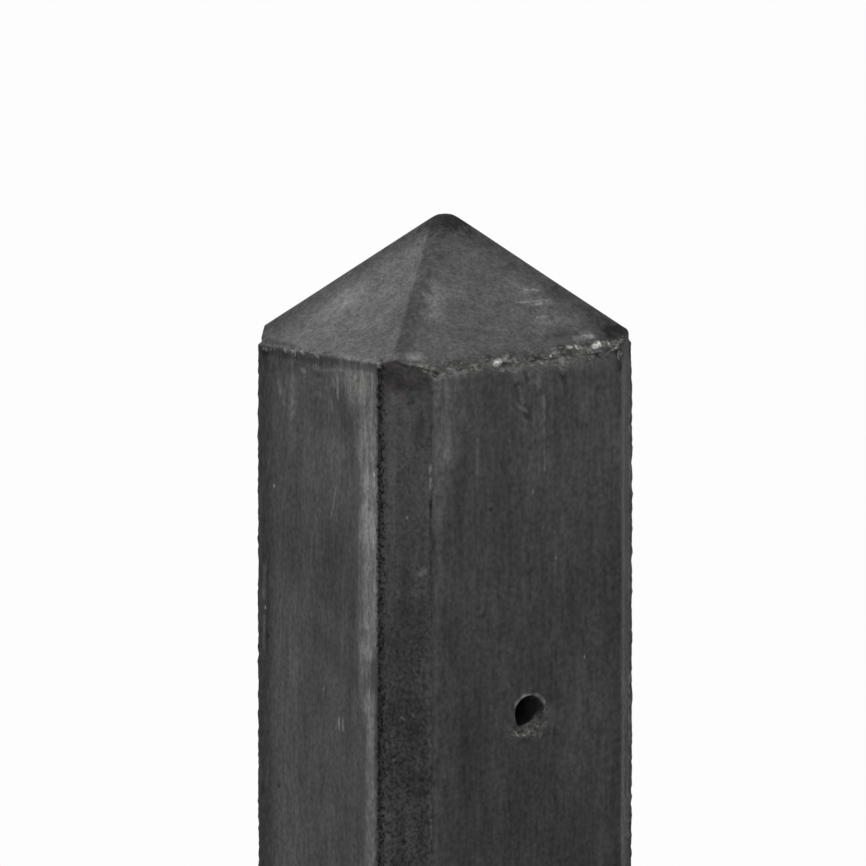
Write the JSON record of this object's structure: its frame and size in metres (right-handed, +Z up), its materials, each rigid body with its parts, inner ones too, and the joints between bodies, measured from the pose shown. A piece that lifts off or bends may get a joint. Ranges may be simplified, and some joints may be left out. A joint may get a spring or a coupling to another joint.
{
  "type": "concrete fence post",
  "caption": "Square precast concrete fence post with chamfered edges, a four-sided pointed head and a round through-hole below it; set in the ground to carry rails, panels or wire.",
  "frame": {"origin": "centre of the flat foot", "axes": "+Z up the post to the tip of the head, -Y out of the front face, along the through-hole"},
  "size_m": [0.1, 0.1, 1.8],
  "materials": {
    "concrete": "dark pigmented cast concrete, matt, worn paler on the edges"
  },
  "bodies": {
    "root": {"post": "concrete"}
  },
  "joints": []
}
